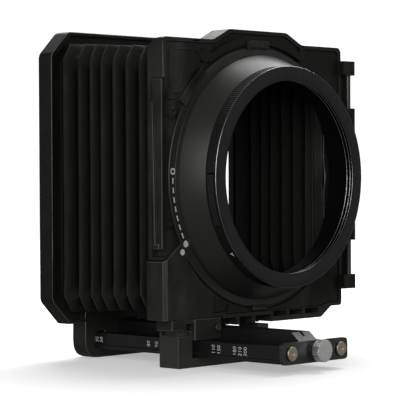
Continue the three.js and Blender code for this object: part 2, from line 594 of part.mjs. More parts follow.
piece('front', 'mouth_frame', mouthFrame(), look.plastic);
const frontClamp = clampFrame(MOUTH.inner - GAP, 3.2, 7, MOUTH.y0 + 0.4, MOUTH.y0 + 2);
piece('front', 'bellows_front_clamp', frontClamp, look.anodised);
piece('front', 'rail', rail(), look.anodised);
piece('front', 'end_plate', endPlate(), look.plated);
['left', 'right'].forEach((side, i) => {
  const endPlace = [END_SCREWS[i], END.y0 - GAP, SCREW_Z];
  piece('front', `end_screw_${side}`, screwWithSlot(3, 0.7, 5.5, 1), look.brass, endPlace);
  const footPlace = [FOOT_SCREWS[i], MOUTH.y1 + GAP, SCREW_Z];
  piece('front', `foot_screw_${side}`, screwWithSlot(2.6, 0.8, 7, 1), look.plated, footPlace, Math.PI);
});
piece('front', 'thumb_screw', thumbScrew(), look.bright, [RAIL.centre, THUMB.y, THUMB.z]);

// ---- Stand the shade on Z = 0, centred on its box ------------------------------------------
shade.updateMatrixWorld(true);
const box = new THREE.Box3().setFromObject(shade, true);
const middle = box.getCenter(new THREE.Vector3());
shade.position.set(-middle.x, -middle.y, -box.min.z);
shade.updateMatrixWorld(true);

export default shade;
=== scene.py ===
import json
import math
import random

import bmesh
import bpy
from mathutils import Matrix, Vector

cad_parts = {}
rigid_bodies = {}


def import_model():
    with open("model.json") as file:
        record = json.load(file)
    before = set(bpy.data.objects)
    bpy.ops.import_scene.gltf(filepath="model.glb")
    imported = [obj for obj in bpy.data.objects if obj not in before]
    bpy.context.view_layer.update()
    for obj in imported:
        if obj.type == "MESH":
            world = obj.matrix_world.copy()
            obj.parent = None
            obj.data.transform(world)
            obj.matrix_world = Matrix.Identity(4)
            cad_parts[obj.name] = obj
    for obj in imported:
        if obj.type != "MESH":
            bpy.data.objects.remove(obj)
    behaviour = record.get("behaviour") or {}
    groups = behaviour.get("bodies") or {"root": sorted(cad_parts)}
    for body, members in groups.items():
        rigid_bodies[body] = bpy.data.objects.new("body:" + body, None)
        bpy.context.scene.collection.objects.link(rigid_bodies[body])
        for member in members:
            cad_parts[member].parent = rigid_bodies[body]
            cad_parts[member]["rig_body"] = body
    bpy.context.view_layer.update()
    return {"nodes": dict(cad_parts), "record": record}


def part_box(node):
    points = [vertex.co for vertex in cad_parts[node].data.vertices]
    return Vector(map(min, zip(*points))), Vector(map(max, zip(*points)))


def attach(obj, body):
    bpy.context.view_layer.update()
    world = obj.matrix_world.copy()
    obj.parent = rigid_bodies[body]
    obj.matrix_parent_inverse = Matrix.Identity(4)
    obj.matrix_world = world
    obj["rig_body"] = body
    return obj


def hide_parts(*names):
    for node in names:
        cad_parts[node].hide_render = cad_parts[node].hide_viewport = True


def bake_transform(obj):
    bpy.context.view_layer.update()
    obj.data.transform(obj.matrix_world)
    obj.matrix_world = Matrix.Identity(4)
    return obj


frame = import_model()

MM = 0.001

CONE_REAR = -13.0            # Y of the cone's rear end, which is the clamp ring's lowest Y
ring_low, ring_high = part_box("clamp_ring")
ORIGIN = Vector(((ring_low.x + ring_high.x) / 2, ring_low.y - CONE_REAR * MM, (ring_low.z + ring_high.z) / 2))
TO_FRAME = Matrix.Translation(ORIGIN) @ Matrix.Scale(MM, 4)
scene = bpy.context.scene


def place(x, y, z):
    """A design point in millimetres as a point of the frame in metres."""
    return TO_FRAME @ Vector((x, y, z))


# ---- Camera and studio ---------------------------------------------------------------------
AZIMUTH, ELEVATION, ROLL = -46.23, 0.92, -0.3
DISTANCE = 821.0
AIM = (-18.2, 18.8, -9.95)
LENS, SENSOR = 167.3, 36.0


def make_camera():
    camera = bpy.data.objects.new("camera", bpy.data.cameras.new("camera"))
    scene.collection.objects.link(camera)
    camera.data.lens = LENS
    camera.data.sensor_width = SENSOR
    camera.data.clip_start = 0.05
    az, el = math.radians(AZIMUTH), math.radians(ELEVATION)
    back = Vector((math.sin(az) * math.cos(el), -math.cos(az) * math.cos(el), math.sin(el)))
    turn = (-back).to_track_quat("-Z", "Y").to_matrix().to_4x4() @ Matrix.Rotation(math.radians(ROLL), 4, "Z")
    camera.matrix_world = Matrix.Translation(place(*AIM) + back * DISTANCE * MM) @ turn
    scene.camera = camera


def area_light(name, azimuth, elevation, distance, size, power):
    """A soft box that looks at the shade from an azimuth and elevation, as the views count them."""
    light = bpy.data.lights.new(name, "AREA")
    light.shape = "RECTANGLE"
    light.size, light.size_y = size
    light.energy = power
    lamp = bpy.data.objects.new(name, light)
    scene.collection.objects.link(lamp)
    az, el = math.radians(azimuth), math.radians(elevation)
    back = Vector((math.sin(az) * math.cos(el), -math.cos(az) * math.cos(el), math.sin(el)))
    lamp.location = place(0, 0, 0) + back * distance
    lamp.rotation_mode = "QUATERNION"
    lamp.rotation_quaternion = (-back).to_track_quat("-Z", "Y")
    lamp.visible_camera = False


def bridge(mesh, here, there):
    """Joins two closed rows of vertices with a band of faces."""
    count = len(here)
    for i in range(count):
        j = (i + 1) % count
        mesh.faces.new((here[i], there[i], there[j], here[j]))


def make_studio():
    """A pale bowl: flat under the shade, and curving up well beyond the cameras."""
    flat, rise, steps, turns = 1.6, 1.6, 12, 64
    profile = [(0.02, 0.0), (0.5, 0.0), (flat, 0.0)]
    for i in range(1, steps + 1):
        a = math.pi / 2 * i / steps
        profile.append((flat + rise * math.sin(a), rise * (1 - math.cos(a))))
    mesh = bmesh.new()
    rings = []
    for r, z in profile:
        ring = []
        for k in range(turns):
            angle = math.tau * k / turns
            ring.append(mesh.verts.new((r * math.cos(angle), r * math.sin(angle), z)))
        rings.append(ring)
    mesh.faces.new(rings[0])
    for low, high in zip(rings, rings[1:]):
        bridge(mesh, low, high)
    floor = bpy.data.objects.new("studio_floor", bpy.data.meshes.new("studio_floor"))
    mesh.to_mesh(floor.data)
    mesh.free()
    floor.data.polygons.foreach_set("use_smooth", [True] * len(floor.data.polygons))
    scene.collection.objects.link(floor)
    floor.data.materials.append(floor_material())
    floor.visible_diffuse = False
    floor.visible_glossy = False

    world = bpy.data.worlds.new("world")
    world.use_nodes = True
    world.node_tree.nodes["Background"].inputs["Color"].default_value = (1.0, 0.985, 0.95, 1)
    world.node_tree.nodes["Background"].inputs["Strength"].default_value = 0.13
    scene.world = world
    scene.view_settings.view_transform = "Standard"
    area_light("back_box", 126, 54, 1.0, (1.1, 0.8), 13)
    area_light("front_box", -50, 13, 1.3, (0.9, 0.8), 8)
    area_light("left_box", -132, 8, 0.9, (0.6, 0.7), 0.3)
    area_light("right_box", 47, 5, 1.0, (0.7, 0.5), 0.36)


# ---- Materials -----------------------------------------------------------------------------
class Nodes:
    """A node material with a few short ways to add to it."""

    def __init__(self, name):
        self.material = bpy.data.materials.new(name)
        self.material.use_nodes = True
        self.tree = self.material.node_tree
        self.shader = self.tree.nodes["Principled BSDF"]
        self.coords = self.tree.nodes.new("ShaderNodeTexCoord").outputs["Object"]

    def node(self, kind, **settings):
        made = self.tree.nodes.new(kind)
        for key, value in settings.items():
            setattr(made, key, value)
        return made

    def link(self, source, target):
        self.tree.links.new(source, target)

    def stretched(self, scale):
        mapping = self.node("ShaderNodeMapping")
        mapping.inputs["Scale"].default_value = scale
        self.link(self.coords, mapping.inputs["Vector"])
        return mapping.outputs["Vector"]

    def noise(self, scale, detail=2.0, stretch=None):
        texture = self.node("ShaderNodeTexNoise")
        texture.inputs["Scale"].default_value = scale
        texture.inputs["Detail"].default_value = detail
        self.link(self.stretched(stretch) if stretch else self.coords, texture.inputs["Vector"])
        return texture.outputs["Fac"]

    def remap(self, value, low, high, to_low, to_high):
        ranged = self.node("ShaderNodeMapRange")
        self.link(value, ranged.inputs["Value"])
        for key, number in zip(("From Min", "From Max", "To Min", "To Max"), (low, high, to_low, to_high)):
            ranged.inputs[key].default_value = number
        return ranged.outputs["Result"]

    def mix(self, factor, dark, light):
        blend = self.node("ShaderNodeMix", data_type="RGBA")
        self.link(factor, blend.inputs["Factor"])
        for socket, value in ((blend.inputs["A"], dark), (blend.inputs["B"], light)):
            if isinstance(value, bpy.types.NodeSocket):
                self.link(value, socket)
            else:
                socket.default_value = (*value, 1)
        return blend.outputs["Result"]

    def bump(self, height, strength, distance):
        made = self.node("ShaderNodeBump")
        made.inputs["Strength"].default_value = strength
        made.inputs["Distance"].default_value = distance
        self.link(height, made.inputs["Height"])
        self.link(made.outputs["Normal"], self.shader.inputs["Normal"])

    def facing(self):
        """From -1 where a surface looks at the optical axis to 1 where it looks straight away."""
        out = self.coords
        for operation, values in (("SUBTRACT", tuple(ORIGIN)), ("MULTIPLY", (1, 0, 1))):
            step = self.node("ShaderNodeVectorMath", operation=operation)
            self.link(out, step.inputs[0])
            step.inputs[1].default_value = values
            out = step.outputs["Vector"]
        unit = self.node("ShaderNodeVectorMath", operation="NORMALIZE")
        self.link(out, unit.inputs[0])
        dot = self.node("ShaderNodeVectorMath", operation="DOT_PRODUCT")
        self.link(unit.outputs["Vector"], dot.inputs[0])
        self.link(self.coords.node.outputs["Normal"], dot.inputs[1])
        return dot.outputs["Value"]

    def times(self, first, second):
        product = self.node("ShaderNodeMath", operation="MULTIPLY")
        self.link(first, product.inputs[0])
        self.link(second, product.inputs[1])
        return product.outputs["Value"]

    def rubbed(self, body, light):
        """body, with its rounded outside edges worn lighter, here more and there less."""
        edges = self.node("ShaderNodeAttribute", attribute_name="edge_wear").outputs["Fac"]
        point = self.node("ShaderNodeNewGeometry").outputs["Pointiness"]
        wear = self.times(edges, self.remap(point, 0.498, 0.508, 0.0, 1.0))
        patchy = self.remap(self.noise(45.0, 3.0), 0.35, 0.65, 0.35, 1.0)
        return self.mix(self.times(wear, patchy), body, light)


def grey(value, warmth=0.0):
    return (value, value, value * (1 - warmth))


def plastic(name, base, roughness, gloss=0.3, dust=0.0):
    """Moulded plastic: fine spark texture, faint cloudiness, edges rubbed lighter, and dull dust. It
    is painted lighter near the table, as painted bounce light from the table."""
    made = Nodes(name)
    cloud = made.remap(made.noise(38.0, 4.0), 0.35, 0.7, 0.0, 1.0)
    body = made.mix(cloud, grey(base * 0.7, 0.15), grey(base * 1.35, 0.15))
    # Painted bounce light: the plastic is made lighter towards the table, where light from the table falls on
    # it.
    height = made.node("ShaderNodeSeparateXYZ")
    made.link(made.coords, height.inputs["Vector"])
    body = made.mix(made.remap(height.outputs["Z"], 0.03, 0.008, 0.0, 0.75), body, grey(base + 0.022, 0.1))
    if dust:
        smears = made.times(made.remap(made.noise(30.0, 9.0), 0.47, 0.66, 0.0, dust),
                            made.remap(made.noise(150.0, 5.0, (1, 1, 0.5)), 0.35, 0.6, 0.2, 1.0))
        body = made.mix(smears, body, (0.075, 0.075, 0.067))
    worn = made.rubbed(body, grey(0.12, 0.06))
    made.link(worn, made.shader.inputs["Base Color"])
    patches = made.remap(made.noise(120.0, 3.0), 0.3, 0.7, roughness - 0.07, roughness + 0.08)
    made.link(patches, made.shader.inputs["Roughness"])
    made.bump(made.noise(2600.0, 1.0), 0.35, 0.00006)
    made.shader.inputs["Specular IOR Level"].default_value = gloss
    return made.material


def metal(name, base, roughness, stretch, strength=0.25, metallic=1.0, scratches=0.5, stains=0.5, wall=None):
    """Metal with a directional finish; stretch squeezes the noise across the brushing. wall is how
    light a ring is on its outside; its bore is then matt black."""
    made = Nodes(name)
    lines = made.noise(900.0, 3.0, stretch)
    body = made.mix(made.remap(lines, 0.3, 0.7, 0.0, scratches), base, tuple(c * 0.72 for c in base))
    spots = made.remap(made.noise(260.0, 5.0), 0.62, 0.78, 0.0, stains)
    body = made.mix(spots, body, tuple(c * 0.45 for c in base))
    made.shader.inputs["Metallic"].default_value = metallic
    made.shader.inputs["Specular IOR Level"].default_value = 0.4
    if wall is not None:
        facing = made.facing()
        body = made.mix(made.remap(facing, 0.3, 0.7, 0.0, 1.0), body, grey(wall, 0.05))
        bore = made.remap(facing, -0.1, -0.4, 0.0, 1.0)
        body = made.mix(bore, body, grey(0.003))
        made.link(made.remap(facing, -0.1, -0.4, 0.4, 0.04), made.shader.inputs["Specular IOR Level"])
        made.link(made.remap(facing, -0.1, -0.4, metallic, 0.0), made.shader.inputs["Metallic"])
    body = made.rubbed(body, tuple(min(1.0, 0.03 + c * 1.3) for c in base))
    made.link(body, made.shader.inputs["Base Color"])
    made.link(made.remap(lines, 0.3, 0.7, roughness - 0.06, roughness + 0.1), made.shader.inputs["Roughness"])
    made.bump(lines, strength, 0.00003)
    return made.material


def floor_material():
    """Pale paper that glows a little, more so away from the shade, so that it stays white."""
    made = Nodes("pale_floor")
    made.link(made.mix(made.noise(0.8), grey(0.9), grey(0.92)), made.shader.inputs["Base Color"])
    made.shader.inputs["Roughness"].default_value = 0.9
    made.shader.inputs["Specular IOR Level"].default_value = 0.1
    length = made.node("ShaderNodeVectorMath", operation="LENGTH")
    made.link(made.coords, length.inputs[0])
    glow = made.remap(length.outputs["Value"], 0.14, 0.8, 0.4, 1.0)
    made.link(glow, made.shader.inputs["Emission Strength"])
    made.shader.inputs["Emission Color"].default_value = (1, 1, 1, 1)
    return made.material


def bellows_material():
    """Matt black bellows cloth: a fine close weave, a cloudy faded tone, painted shade in the deep folds and
    in the cloth tucked into the mouth, and worn creases.
    """
    made = Nodes("bellows_cloth")
    wave_a = made.node("ShaderNodeTexWave", bands_direction="Z")
    wave_b = made.node("ShaderNodeTexWave", bands_direction="DIAGONAL")
    for wave in (wave_a, wave_b):
        wave.inputs["Scale"].default_value = 420.0
        made.link(made.coords, wave.inputs["Vector"])
    weave = made.node("ShaderNodeMath", operation="MULTIPLY")
    made.link(wave_a.outputs["Fac"], weave.inputs[0])
    made.link(wave_b.outputs["Fac"], weave.inputs[1])
    cloud = made.remap(made.noise(55.0, 4.0, (1, 1, 0.25)), 0.3, 0.7, 0.0, 1.0)
    faded = made.mix(cloud, (0.0075, 0.0075, 0.0064), (0.0125, 0.0125, 0.0106))
    # Painted shade: fold_depth darkens the cloth deep in each fold and where it is tucked into the mouth.
    depth = made.node("ShaderNodeAttribute", attribute_name="fold_depth").outputs["Fac"]
    body = made.mix(made.remap(depth, 0.05, 0.6, 0.0, 1.0), faded, (0.0022, 0.0022, 0.0019))
    worn = made.mix(made.remap(depth, -0.05, -0.4, 0.0, 1.0), body, (0.04, 0.04, 0.035))
    made.link(worn, made.shader.inputs["Base Color"])
    made.link(made.remap(made.noise(90.0, 3.0), 0.3, 0.7, 0.62, 0.8), made.shader.inputs["Roughness"])
    made.bump(weave.outputs["Value"], 0.3, 0.00005)
    # Painted shade: the reflection is weakened deep in the folds.
    made.link(made.remap(depth, 0.05, 0.6, 0.25, 0.03), made.shader.inputs["Specular IOR Level"])
    return made.material


def paint_material():
    """White filling of the engraved marks, a little uneven."""
    made = Nodes("white_marking")
    made.link(made.mix(made.noise(700.0), grey(0.6), grey(0.8)), made.shader.inputs["Base Color"])
    made.shader.inputs["Roughness"].default_value = 0.6
    return made.material


MATERIALS = {
    "body_plastic": plastic("body_plastic", 0.012, 0.44, gloss=0.24, dust=0.5),
    "door_plastic": plastic("door_plastic", 0.0085, 0.48, gloss=0.18, dust=0.5),
    "mouth_plastic": plastic("mouth_plastic", 0.0088, 0.44, gloss=0.24),
    "carriage_plastic": plastic("carriage_plastic", 0.028, 0.38, dust=0.35),
    "ring_satin": metal("ring_satin", grey(0.036, 0.04), 0.36, (1, 30, 1), 0.15, metallic=0.3, wall=0.036),
    "black_anodised": metal("black_anodised", grey(0.015), 0.52, (1, 40, 1), metallic=0.0, wall=0.007),
    "rail_anodised": metal("rail_anodised", grey(0.014), 0.36, (40, 1, 40), metallic=0.2),
    "clamp_steel": metal("clamp_steel", grey(0.012), 0.6, (1, 1, 1), metallic=0.1),
    "dark_steel": metal("dark_steel", (0.085, 0.095, 0.09), 0.36, (1, 1, 30), metallic=0.8),
    "brass": metal("brass", (0.6, 0.52, 0.4), 0.34, (1, 1, 1)),
    "bright_steel": metal("bright_steel", grey(0.95), 0.3, (1, 30, 1), stains=0.1, scratches=0.3),
    "black_screw": metal("black_screw", grey(0.03), 0.36, (1, 1, 1), metallic=0.5),
    "polished_edge": metal("polished_edge", grey(0.4), 0.3, (1, 1, 1), metallic=0.9),
    "bellows_cloth": bellows_material(),
    "white_marking": paint_material(),
}
SLOT_OF = {row["node"]: row["material_slot"] for row in frame["record"]["subparts"]}
# Screws that look darker than the rest of their slot.
SCREW_LOOKS = {
    "door_screw_upper": "black_screw", "door_screw_lower": "black_screw", "neck_screw": "dark_steel",
}


# ---- Building pieces -----------------------------------------------------------------------
def object_from(name, mesh):
    """An object made of a bmesh, with all its faces turned outwards."""
    bmesh.ops.recalc_face_normals(mesh, faces=mesh.faces)
    piece = bpy.data.objects.new(name, bpy.data.meshes.new(name))
    mesh.to_mesh(piece.data)
    mesh.free()
    return piece


def finish_piece(piece, body, slot, nodes=(), smooth_angle=32.0, look=None):
    """Links a piece, shades it, gives it its material, and makes it ride and stand for CAD nodes.
    smooth_angle is None where the piece already has its normals."""
    if piece.name not in scene.collection.objects:
        scene.collection.objects.link(piece)
    piece.data.polygons.foreach_set("use_smooth", [True] * len(piece.data.polygons))
    if smooth_angle:
        piece.data.set_sharp_from_angle(angle=math.radians(smooth_angle))
    piece.data.materials.clear()
    piece.data.materials.append(MATERIALS[look or slot])
    if body:
        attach(piece, body)
    if nodes:
        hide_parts(*nodes)
    return piece


def applied(piece):
    """The piece's mesh with its modifiers made real."""
    bpy.context.view_layer.update()
    graph = bpy.context.evaluated_depsgraph_get()
    mesh = bpy.data.meshes.new_from_object(piece.evaluated_get(graph))
    piece.modifiers.clear()
    piece.data = mesh
    return piece


SHARP = 0.6                  # radians between two faces whose edge is part of an outline
NEAR = 0.05                  # how close such an edge lies to a side of the node's box


def outline_edges(mesh, shortest):
    """The long sharp edges on the sides of a node's box, between faces that both look out of it."""
    corners = [vertex.co for vertex in mesh.verts]
    low = Vector([min(corner[axis] for corner in corners) for axis in range(3)])
    high = Vector([max(corner[axis] for corner in corners) for axis in range(3)])
    middle, near = (low + high) / 2, NEAR * MM
    found = []
    for edge in mesh.edges:
        if edge.calc_length() < shortest * MM or not edge.is_manifold or edge.calc_face_angle() < SHARP:
            continue
        at_side = any(all(abs(v.co[axis] - side[axis]) < near for v in edge.verts)
                      for axis in range(3) for side in (low, high))
        outward = all(face.normal.dot(edge.verts[0].co - middle) > 0 for face in edge.link_faces)
        if edge.is_convex and at_side and outward:
            found.append(edge)
    return found


def round_outline(mesh, width, turned):
    """Rounds a node's outline and marks the middle of each rounding as worn. turned is how far the
    corners that run along the optical axis are rounded before that."""
    shortest = 6.0
    if turned:
        shortest = 0.3
        along = [edge for edge in outline_edges(mesh, 4.0)
                 if abs((edge.verts[0].co - edge.verts[1].co).normalized().y) > 0.99]
        bmesh.ops.bevel(mesh, geom=along, offset=turned * MM, segments=4, profile=0.5, affect="EDGES",
                        clamp_overlap=True)
    made = bmesh.ops.bevel(mesh, geom=outline_edges(mesh, shortest), offset=width * MM, segments=3,
                           profile=0.5, affect="EDGES", clamp_overlap=False)
    strips = set(made["faces"])
    for face in strips:
        longest = sorted(face.edges, key=lambda edge: -edge.calc_length())[:2]
        if all(set(edge.link_faces) <= strips for edge in longest):
            face.material_index = 1


def skin(node, edge, outline=0.0, turned=0.0):
    """A CAD node with its edges rounded, the outline's edges more, so that they catch the light."""
    source = frame["nodes"][node]
    piece = bpy.data.objects.new(node + "_moulding", source.data.copy())
    piece.data.materials.clear()
    for _ in range(2):
        piece.data.materials.append(MATERIALS[SLOT_OF[node]])      # the second one marks worn faces
    scene.collection.objects.link(piece)
    mesh = bmesh.new()
    mesh.from_mesh(piece.data)
    bmesh.ops.remove_doubles(mesh, verts=mesh.verts, dist=1e-6)
    bmesh.ops.dissolve_limit(mesh, angle_limit=math.radians(1.0), verts=mesh.verts, edges=mesh.edges)
    if outline:
        round_outline(mesh, outline, turned)
    mesh.to_mesh(piece.data)
    mesh.free()
    bevel = piece.modifiers.new("edges", "BEVEL")
    bevel.width = edge * MM
    bevel.segments = 2
    bevel.limit_method = "ANGLE"
    bevel.angle_limit = math.radians(38.0)
    bevel.material = 1
    weighted = piece.modifiers.new("normals", "WEIGHTED_NORMAL")
    weighted.keep_sharp = True
    piece.data.polygons.foreach_set("use_smooth", [True] * len(piece.data.polygons))
    applied(piece)
    worn = [float(face.material_index) for face in piece.data.polygons]
    piece.data.attributes.new("edge_wear", "FLOAT", "FACE").data.foreach_set("value", worn)
    piece.data.polygons.foreach_set("material_index", [0] * len(worn))
    return finish_piece(piece, source["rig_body"], SLOT_OF[node], [node], None, SCREW_LOOKS.get(node))


def lathe(name, section, body, slot, nodes=(), turns=180, radius=None):
    """A ring turned about the optical axis from a closed list of (radius, y). radius(r, y, angle)
    may change the radius round the ring."""
    mesh = bmesh.new()
    rings = []
    for k in range(turns):
        angle = math.tau * k / turns
        ring = []
        for r, y in section:
            real = radius(r, y, angle) if radius else r
            ring.append(mesh.verts.new(place(real * math.cos(angle), y, real * math.sin(angle))))
        rings.append(ring)
    for k in range(turns):
        bridge(mesh, rings[k], rings[(k + 1) % turns])
    return finish_piece(object_from(name, mesh), body, slot, nodes)


def rounded(corners, steps=3):
    """A closed section through (radius, y, rounding) corners, with each corner turned by an arc."""
    section = []
    count = len(corners)
    for i, (r, y, size) in enumerate(corners):
        corner = Vector((r, y))
        if size <= 0:
            section.append((r, y))
            continue
        before = Vector(corners[i - 1][:2])
        after = Vector(corners[(i + 1) % count][:2])
        start = corner + (before - corner).normalized() * size
        end = corner + (after - corner).normalized() * size
        for k in range(steps + 1):
            t = k / steps
            point = start * (1 - t) ** 2 + corner * 2 * t * (1 - t) + end * t * t
            section.append((point.x, point.y))
    return section


# ---- Rings ---------------------------------------------------------------------------------
def make_clamp_ring():
    corners = [
        (48.0, -13.0, 0.2), (53.6, -3.0, 0.4), (53.6, -0.7, 0.3), (57.0, -0.7, 0.1), (57.3, -0.4, 0.1),
        (57.3, 0.15, 0.1), (53.6, 0.15, 0.0), (53.6, 3.1, 0.2), (51.6, 3.1, 0.2), (51.2, -3.0, 0.5),
        (47.4, -10.0, 0.3), (47.0, -13.0, 0.2),
    ]
    lathe("clamp_ring_turned", rounded(corners), "clamp", "ring_satin", ["clamp_ring"])


BORE, RIM, REAR = 42.0, 48.3, -19.1          # the adapter's clear radius, rim and rear face
KNURLS = [(20, 75), (100, 152), (220, 262), (290, 340)]      # degrees round the rim
TOOTH, TEETH = 0.26, 240                     # depth of the knurl, and its teeth in a full turn
POCKET = (177.6, 205.4)                      # degrees of the pocket that the catch lies in
POCKET_Y, POCKET_FLOOR = (-18.3, -14.0), 45.2


def adapter_radius(r, y, angle):
    """The adapter's outline with its knurl and its pocket."""
    degrees = math.degrees(angle)
    if r > RIM - 0.2 and any(low < degrees < high for low, high in KNURLS):
        return r - TOOTH * (0.5 - 0.5 * math.cos(angle * TEETH))
    if r > RIM - 0.2 and POCKET[0] < degrees < POCKET[1] and POCKET_Y[0] < y < POCKET_Y[1]:
        return POCKET_FLOOR
    return r


def make_bayonet_key(number, degrees):
    """A small key behind the adapter's lip, narrower towards the bore."""
    a = math.radians(degrees)
    out, along = Vector((math.cos(a), 0, math.sin(a))), Vector((-math.sin(a), 0, math.cos(a)))
    mesh = bmesh.new()
    rows = []
    for y in (-18.9, -17.3):
        rows.append([mesh.verts.new(place(*(out * r + along * t + Vector((0, y, 0)))))
                     for r, t in ((43.4, -0.9), (43.4, 0.9), (41.9, 0.35), (41.9, -0.35))])
    mesh.faces.new(rows[0])
    mesh.faces.new(list(reversed(rows[1])))
    bridge(mesh, *rows)
    finish_piece(object_from(f"bayonet_key_{number}", mesh), "adapter", "polished_edge")


def make_adapter():
    """The adapter: knurled stretches on its rim, and thread-like ridges behind its bore's lip."""
    corners = [
        (BORE, REAR, 0.08), (RIM - 0.35, REAR, 0.05), (RIM, REAR + 0.35, 0.1), (RIM, -13.4, 0.2),
        (44.8, -13.4, 0.1), (44.8, -6.0, 0.3), (42.9, -6.0, 0.2), (42.9, -13.0, 0.0), (43.6, -13.3, 0.1),
        (43.6, -14.6, 0.1), (42.5, -15.0, 0.1), (42.5, -15.5, 0.1), (43.3, -15.9, 0.1), (43.3, -16.7, 0.1),
        (42.3, -17.0, 0.1), (42.3, -17.4, 0.1), (43.2, -17.7, 0.1), (43.2, -18.4, 0.1), (BORE, -18.7, 0.08),
    ]
    section = rounded(corners, 2)
    rim_at = next(i for i, (r, y) in enumerate(section) if r > RIM - 0.01 and y > REAR + 0.5)
    section[rim_at:rim_at] = [(RIM, -18.4), (RIM, -18.2), (RIM, -14.1), (RIM, -13.9)]
    lathe("adapter_ring_turned", section, "adapter", "black_anodised", ["adapter_ring"], 1440, adapter_radius)
    # Thin bare edges where the black finish has worn off.
    for name, r, y, width in (
        ("adapter_edge_outer", RIM - 0.17, REAR + 0.17, 0.2), ("adapter_edge_bore", BORE, REAR + 0.25, 0.16),
        ("adapter_thread_1", 42.3, -17.2, 0.2), ("adapter_thread_2", 42.5, -15.2, 0.2),
    ):
        half = width / 2
        wire = [(r - half, y), (r, y - half), (r + half, y), (r, y + half)]
        lathe(name, wire, "adapter", "polished_edge", (), 360)
    for number, degrees in ((1, 347.5), (2, 324.5)):
        make_bayonet_key(number, degrees)


def make_strip(node, middle, half, outer):
    """A serrated strip that holds the flange, with a lip over the flange's edge."""
    inner, lip, rear, under, seat = 57.6, 56.4, -1.6, -1.05, 0.2
    stations = int(half * 8)
    groove = 0.28
    mesh = bmesh.new()
    rings = []
    for k in range(stations + 1):
        a = math.radians(middle - half + 2 * half * k / stations)
        top = rear + (groove if k % 4 in (1, 2) and 0 < k < stations else 0.0)
        section = [(lip, rear), (lip + 0.5, rear), (lip + 0.8, top), (outer - 0.25, top), (outer, rear + 0.3),
                   (outer, seat), (inner, seat), (inner, under), (lip, under)]
        rings.append([mesh.verts.new(place(r * math.cos(a), y, r * math.sin(a))) for r, y in section])
    for here, there in zip(rings, rings[1:]):
        bridge(mesh, here, there)
    mesh.faces.new(rings[0])
    mesh.faces.new(list(reversed(rings[-1])))
    finish_piece(object_from(node + "_serrated", mesh), "door", SLOT_OF[node], [node], 20.0)


# ---- Bellows -------------------------------------------------------------------------------
PLEATS, PITCH, FIRST_RIDGE = 7, 7.6, 9.9
REAR_CLAMP_HALF = 51.0                       # half-width of the cloth in the standard's clamp
RIDGE_REAR, RIDGE_FRONT = 56.7, 59.5         # half-width at the first and last full ridge
PLEAT_DEPTH, FIRST_DEPTH, LAST_DEPTH = 8.6, 3.4, 11.2
TUCK_LENGTH, TUCKED_HALF = 3.4, 57.3         # the cloth past the last ridge, in the mouth's clamp
CLOTH = 0.5
RIDGE_SAG = {4: -0.4, 5: -1.8, 6: -2.2, 7: -0.9}
CUT_X, CUT_Z, CREASE = 4.3, 7.2, 6.5         # the cut corners of a ridge, and the push of their creases
PER_SIDE, PER_CUT = 10, 4                    # points along a side and along a cut corner


def ridge_half(index):
    """Half-width of the bellows at a ridge: they widen towards the mouth."""
    return RIDGE_REAR + (RIDGE_FRONT - RIDGE_REAR) * (index - 1) / (PLEATS - 1)


def octagon_ring(half, y, cut_x, cut_z, crease=0.0):
    """Points round a rectangle with cut corners; crease pushes the middle of each cut outwards."""
    corners = [
        (-half + cut_x, -half), (half - cut_x, -half), (half, -half + cut_z), (half, half - cut_z),
        (half - cut_x, half), (-half + cut_x, half), (-half, half - cut_z), (-half, -half + cut_z),
    ]
    points = []
    for i, start in enumerate(corners):
        end = corners[(i + 1) % len(corners)]
        straight = i % 2 == 0
        steps = PER_SIDE if straight else PER_CUT
        for k in range(steps):
            t = k / steps
            x, z = start[0] + (end[0] - start[0]) * t, start[1] + (end[1] - start[1]) * t
            push = 0.0 if straight else crease * (1 - abs(2 * t - 1))
            points.append((x + math.copysign(push, x), y, z + math.copysign(push, z)))
    return points


def finish_cloth(name, rings, depths):
    """Makes a piece of cloth through rings of points, with its real thickness on the inside."""
    mesh = bmesh.new()
    rows = [[mesh.verts.new(place(*point)) for point in ring] for ring in rings]
    for low, high in zip(rows, rows[1:]):
        bridge(mesh, low, high)
    piece = object_from(name, mesh)
    scene.collection.objects.link(piece)
    solid = piece.modifiers.new("cloth", "SOLIDIFY")
    solid.thickness = CLOTH * MM
    solid.offset = -1
    applied(piece)
    # The outside comes first, then the same points on the inside, where the folds are turned about, so that
    # painted shade darkens the inside of each ridge.
    inside = [max(0.0, 0.7 - depth) for depth in depths]
    layer = piece.data.attributes.new("fold_depth", "FLOAT", "POINT")
    layer.data.foreach_set("value", depths + inside)
    return piece


def ridge_place(index):
    """Where a ridge lies along the axis; the last folds sag a little towards the standard."""
    return FIRST_RIDGE + index * PITCH + RIDGE_SAG.get(index, 0.0)


